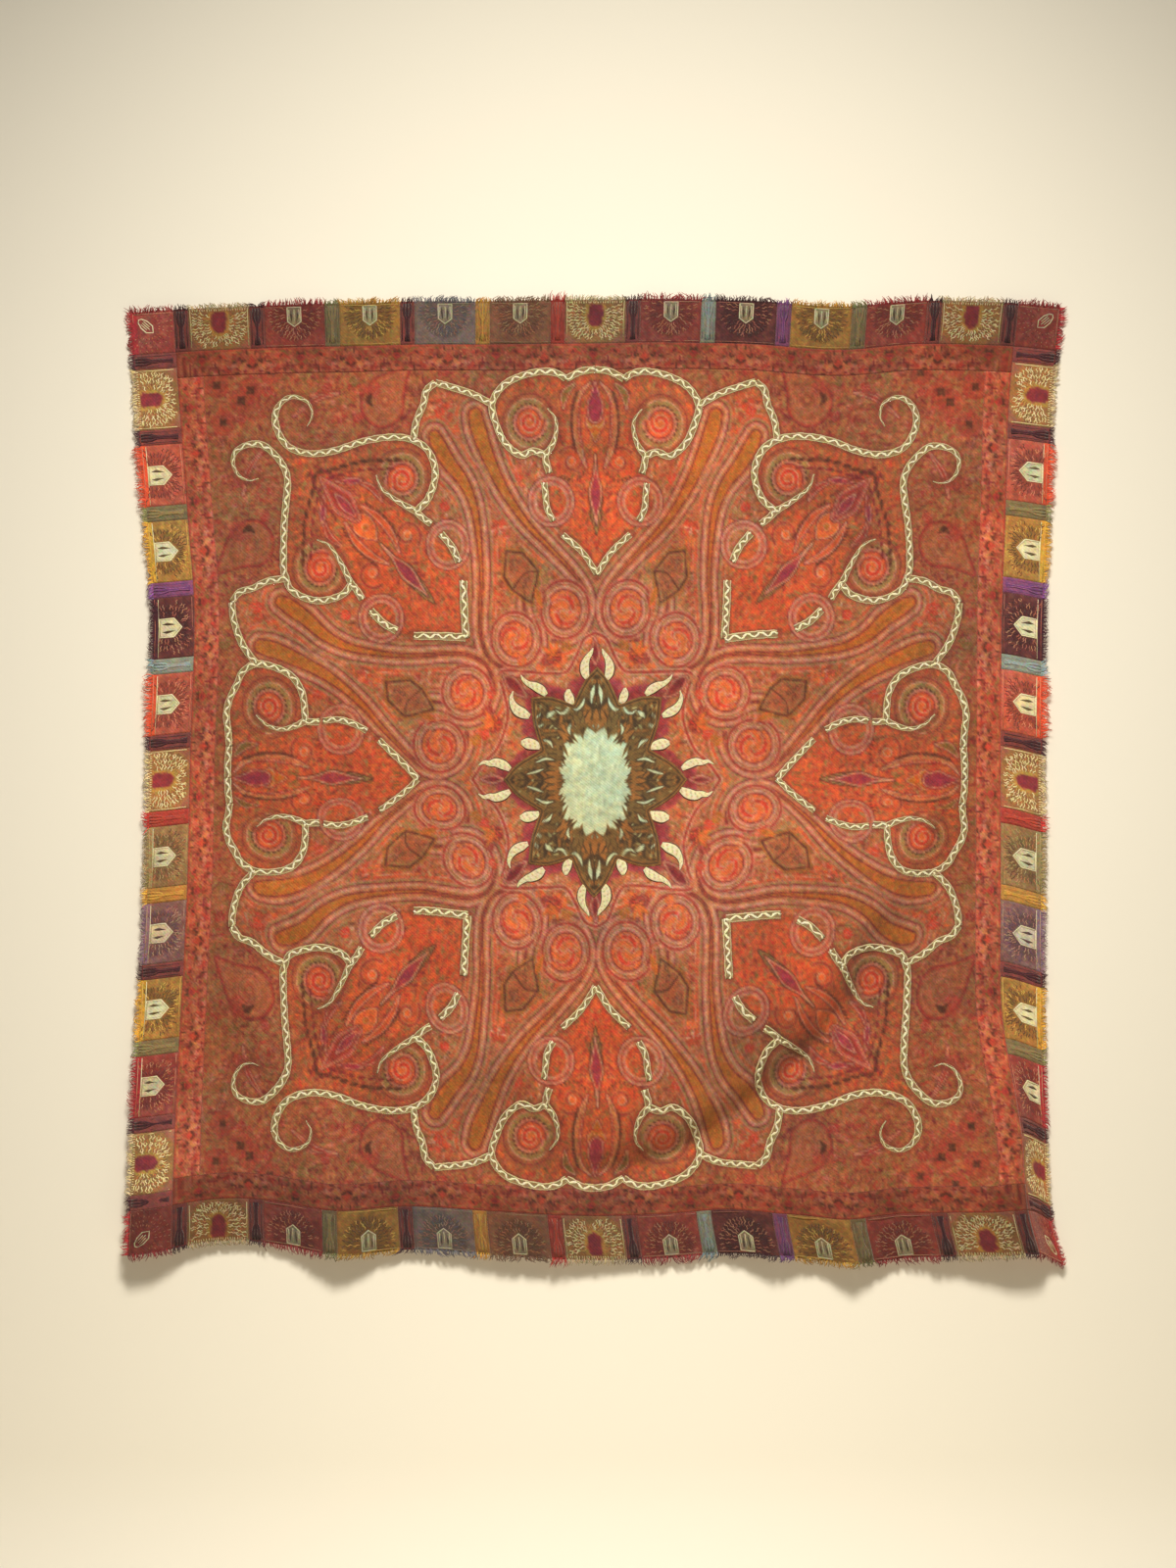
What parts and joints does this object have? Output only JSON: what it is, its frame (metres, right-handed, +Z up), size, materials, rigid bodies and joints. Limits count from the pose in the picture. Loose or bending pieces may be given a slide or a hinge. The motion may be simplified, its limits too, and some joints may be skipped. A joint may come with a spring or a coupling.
{
  "type": "sozni shawl",
  "caption": "Square embroidered wool shawl with a pieced harlequin border and a short fringe, hung flat by its top edge.",
  "frame": {"origin": "middle of the top edge, at the back of the cloth, where it is held against a wall", "axes": "+Z up, -Y out of the front of the cloth, +X to the right as seen from the front"},
  "size_m": [1.842, 0.1288, 1.9028],
  "materials": {
    "field_wool": "fine goat-wool twill in reds and oranges, worked all over with stem stitch",
    "centre_wool": "pale grey-green wool, its edge worked with brown and olive leaves",
    "inner_border_wool": "red twill with a running floral border",
    "block_cream": "cream wool, embroidered",
    "block_crimson": "crimson wool, embroidered",
    "block_red": "bright red wool, embroidered",
    "block_gold": "old gold wool, embroidered",
    "block_blue": "grey-blue wool, embroidered",
    "block_brown": "brown wool, embroidered",
    "block_maroon": "dark maroon wool, embroidered",
    "block_olive": "olive wool, embroidered",
    "block_purple": "purple-grey wool, embroidered",
    "fringe_wool": "loose wool threads in the colours of the blocks they leave"
  },
  "bodies": {
    "root": {"field": "field_wool", "medallion": "centre_wool", "inner_border_top": "inner_border_wool", "inner_border_right": "inner_border_wool", "inner_border_bottom": "inner_border_wool", "inner_border_left": "inner_border_wool", "block_top_01": "block_cream", "block_top_02": "block_crimson", "block_top_03": "block_gold", "block_top_04": "block_blue", "block_top_05": "block_brown", "block_top_06": "block_cream", "block_top_07": "block_crimson", "block_top_08": "block_maroon", "block_top_09": "block_gold", "block_top_10": "block_crimson", "block_top_11": "block_cream", "block_right_01": "block_cream", "block_right_02": "block_red", "block_right_03": "block_gold", "block_right_04": "block_maroon", "block_right_05": "block_red", "block_right_06": "block_cream", "block_right_07": "block_olive", "block_right_08": "block_purple", "block_right_09": "block_gold", "block_right_10": "block_crimson", "block_right_11": "block_cream", "block_bottom_01": "block_cream", "block_bottom_02": "block_crimson", "block_bottom_03": "block_gold", "block_bottom_04": "block_maroon", "block_bottom_05": "block_crimson", "block_bottom_06": "block_cream", "block_bottom_07": "block_brown", "block_bottom_08": "block_blue", "block_bottom_09": "block_gold", "block_bottom_10": "block_crimson", "block_bottom_11": "block_cream", "block_left_01": "block_cream", "block_left_02": "block_crimson", "block_left_03": "block_gold", "block_left_04": "block_purple", "block_left_05": "block_olive", "block_left_06": "block_cream", "block_left_07": "block_red", "block_left_08": "block_maroon", "block_left_09": "block_gold", "block_left_10": "block_red", "block_left_11": "block_cream", "corner_top_right": "block_crimson", "corner_bottom_right": "block_crimson", "corner_bottom_left": "block_crimson", "corner_top_left": "block_crimson", "fringe_top": "fringe_wool", "fringe_right": "fringe_wool", "fringe_bottom": "fringe_wool", "fringe_left": "fringe_wool"}
  },
  "joints": []
}
